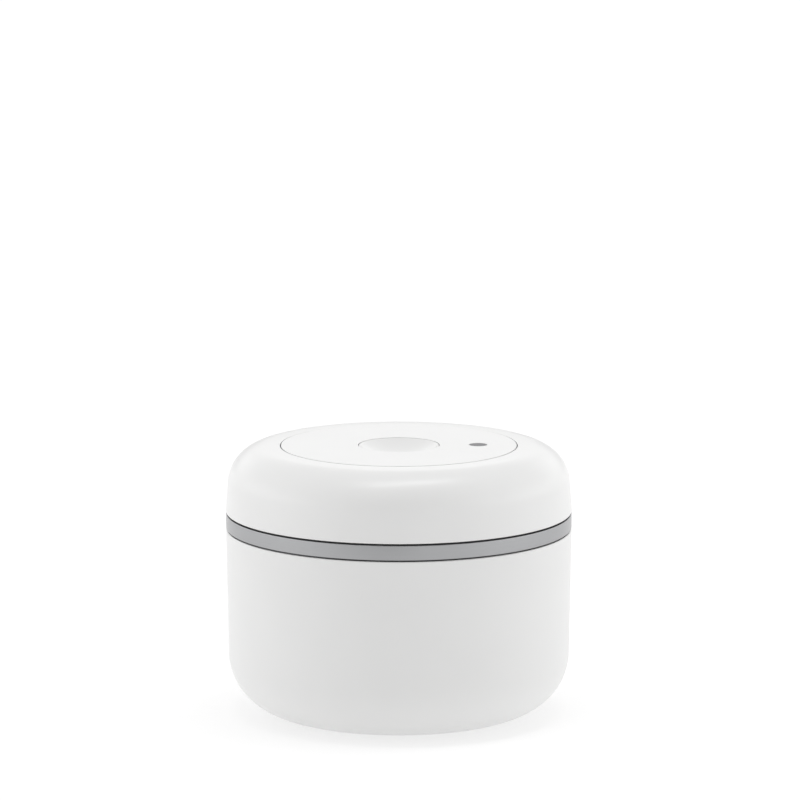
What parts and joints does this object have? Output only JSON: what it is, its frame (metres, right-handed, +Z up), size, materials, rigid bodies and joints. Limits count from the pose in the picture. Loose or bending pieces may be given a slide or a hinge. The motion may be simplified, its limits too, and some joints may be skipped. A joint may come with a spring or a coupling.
{
  "type": "vacuum seal canister",
  "caption": "Squat round steel food canister with a domed twist-pump lid, steel rim band, dished vacuum release button and a vacuum indicator.",
  "frame": {"origin": "middle of the base, on the surface the canister stands on", "axes": "+Z up along the canister's axis, +X towards the indicator, -Y towards the camera of the picture"},
  "size_m": [0.12, 0.12, 0.0933],
  "materials": {
    "painted_steel": "matte white powder coat outside, bare steel inside",
    "bare_steel": "brushed around",
    "white_plastic": "fine matte",
    "grey_plastic": "fine matte",
    "dark_plastic": "fine matte",
    "pale_plastic": "satin",
    "cam_plastic": "satin",
    "acetal": "natural",
    "silicone": "soft matte",
    "black_rubber": "satin",
    "steel_hardware": "turned",
    "felt": "felt"
  },
  "bodies": {
    "canister": {"canister_body": "painted_steel", "rim_band": "bare_steel"},
    "lid": {"lid_base": "dark_plastic", "lid_gasket": "silicone", "glide_ring": "acetal", "pump_body": "pale_plastic", "body_seal": "black_rubber", "base_screws": "steel_hardware", "inlet_valves": "silicone", "filter_pad": "felt", "filter_cover": "dark_plastic", "top_plate": "white_plastic", "button_spring": "steel_hardware", "indicator_cup": "pale_plastic", "indicator_spring": "steel_hardware", "indicator_hose": "silicone"},
    "cap": {"lid_cap": "white_plastic", "cam_ring": "cam_plastic", "cam_screws": "steel_hardware"},
    "piston": {"pump_piston": "pale_plastic", "piston_outer_seal": "black_rubber", "piston_inner_seal": "black_rubber", "outlet_valves": "silicone", "follower_pins": "steel_hardware", "guide_rollers": "acetal", "cam_rollers": "acetal"},
    "button": {"release_button": "white_plastic", "release_stem": "pale_plastic", "release_seal": "silicone"},
    "indicator": {"indicator_pin": "grey_plastic", "indicator_seal": "silicone"}
  },
  "joints": [
    {"name": "lid_lift", "type": "slide", "parent": "canister", "child": "lid", "axis": [0, 0, 1], "range_m": [0, 0.1]},
    {"name": "lid_twist", "type": "hinge", "parent": "lid", "child": "cap", "pos_m": [0, 0, 0.0721], "axis": [0, 0, 1], "range_deg": [-45, 45]},
    {"name": "pump_stroke", "type": "slide", "parent": "lid", "child": "piston", "axis": [0, 0, 1], "range_m": [-0.00451, 0.00451]},
    {"name": "release_press", "type": "slide", "parent": "lid", "child": "button", "axis": [0, 0, -1], "range_m": [0, 0.0025], "stiffness_N_per_m": 800, "springref_m": -0.004, "deforming": ["button_spring"]},
    {"name": "indicator_drop", "type": "slide", "parent": "lid", "child": "indicator", "axis": [0, 0, -1], "range_m": [0, 0.002], "stiffness_N_per_m": 90, "springref_m": -0.001, "deforming": ["indicator_spring"]}
  ],
  "couplings": [
    {"joint": "pump_stroke", "follows": "lid_twist", "m_per_rad": -0.0057296}
  ]
}
